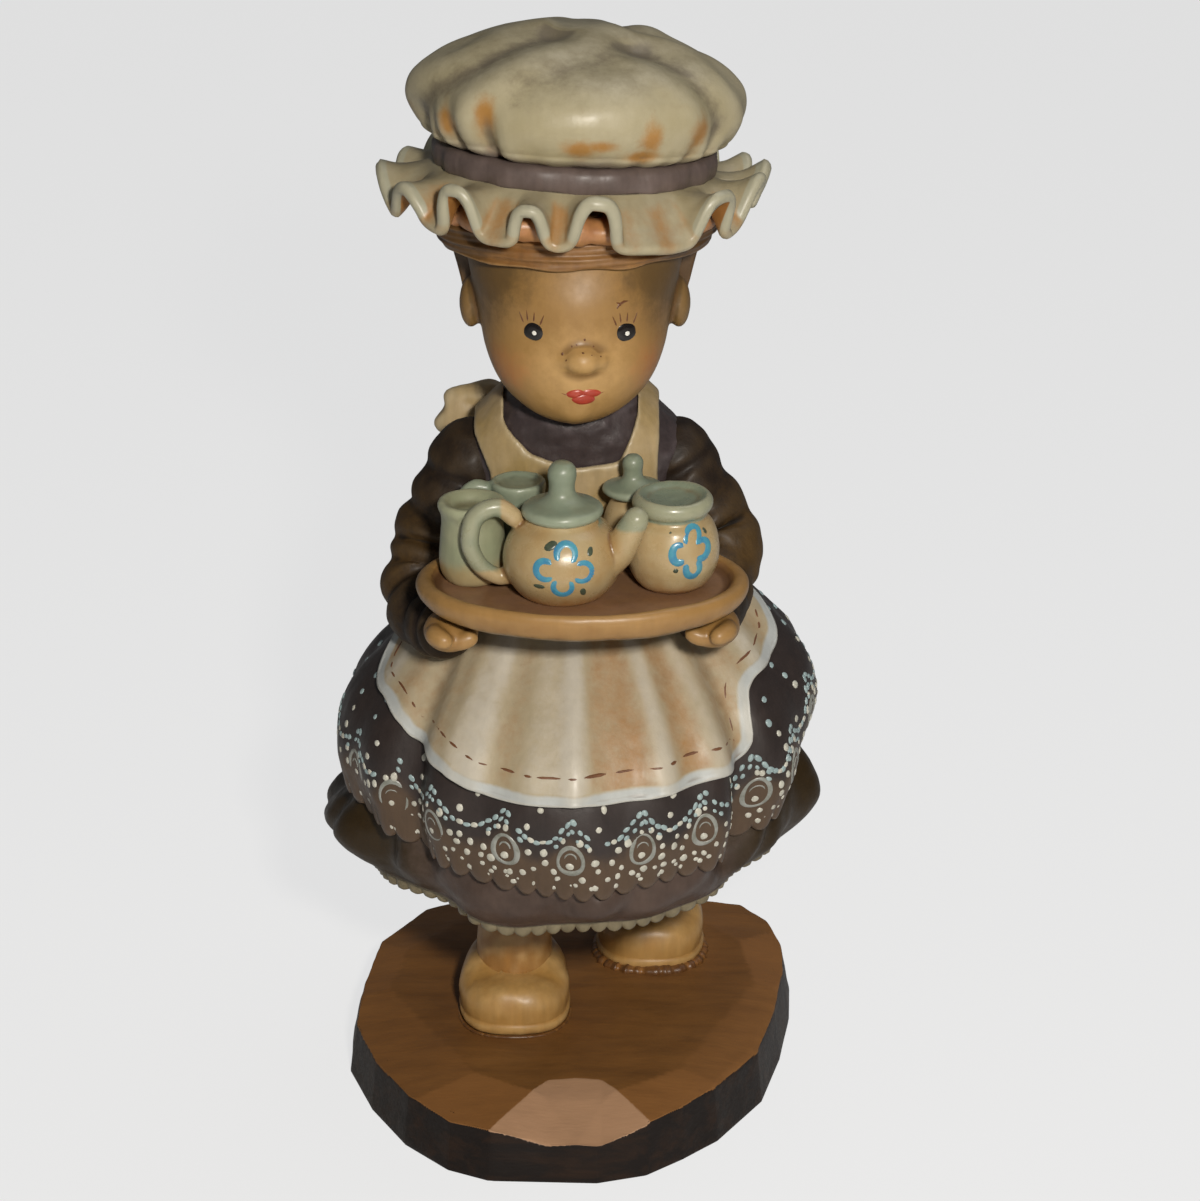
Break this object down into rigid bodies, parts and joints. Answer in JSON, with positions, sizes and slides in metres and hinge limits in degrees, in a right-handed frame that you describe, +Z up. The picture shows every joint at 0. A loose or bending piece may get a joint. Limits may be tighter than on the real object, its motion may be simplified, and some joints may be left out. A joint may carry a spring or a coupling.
{
  "type": "carved child figurine",
  "caption": "Painted carved figurine of a child in a frilled cap and apron, carrying an oval tray of tea things and standing on a faceted plinth.",
  "frame": {"origin": "underside of the plinth, below the middle of the whole figurine's box", "axes": "+Z up, from the plinth to the cap; the child faces -Y and its left hand is towards +X"},
  "size_m": [0.066, 0.077, 0.1505],
  "materials": {
    "walnut_stain": "brown stain under varnish, satin",
    "ochre_glaze": "ochre glaze under varnish, satin",
    "bare_beech": "bare planed beech",
    "petticoat_paint": "dark mauve-brown paint, worn, satin",
    "lace_paint": "grey-beige paint, satin",
    "dress_paint": "dark purple-brown paint, worn to ochre at the elbows, satin",
    "apron_paint": "cream paint with a brown wash in the folds, satin",
    "skin_paint": "flesh-coloured glaze with a blush, satin",
    "hair_paint": "brown paint, satin",
    "cap_paint": "ivory paint with a grey and tan wash, satin",
    "ribbon_paint": "grey-mauve paint, satin",
    "tray_paint": "ochre glaze with a mauve-grey wash, semi-gloss",
    "pot_paint": "cream paint with painted flowers, semi-gloss",
    "celadon_paint": "grey-green paint, semi-gloss"
  },
  "bodies": {
    "root": {"plinth": "walnut_stain", "shoe_right": "ochre_glaze", "shoe_left": "ochre_glaze", "boot_leg_right": "ochre_glaze", "boot_leg_left": "ochre_glaze", "leg_dowel_right": "bare_beech", "leg_dowel_left": "bare_beech", "petticoat": "petticoat_paint", "petticoat_lace": "lace_paint", "dress_skirt": "dress_paint", "apron_skirt": "apron_paint", "bodice": "dress_paint", "neck_dowel": "bare_beech", "apron_bib": "apron_paint", "apron_waistband": "apron_paint", "apron_bow": "apron_paint", "bow_pin": "bare_beech", "sleeve_right": "dress_paint", "sleeve_left": "dress_paint", "arm_dowel_right": "bare_beech", "arm_dowel_left": "bare_beech", "hand_right": "skin_paint", "hand_left": "skin_paint", "head": "skin_paint", "hair": "hair_paint", "cap_frill": "cap_paint", "cap_band": "ribbon_paint", "cap_crown": "cap_paint", "crown_dowel": "bare_beech", "tray": "tray_paint", "tray_pin": "bare_beech", "teapot": "pot_paint", "teapot_lid": "celadon_paint", "sugar_bowl": "pot_paint", "cream_jug": "celadon_paint", "tea_cup": "celadon_paint", "small_pot": "pot_paint", "small_pot_lid": "celadon_paint"}
  },
  "joints": []
}
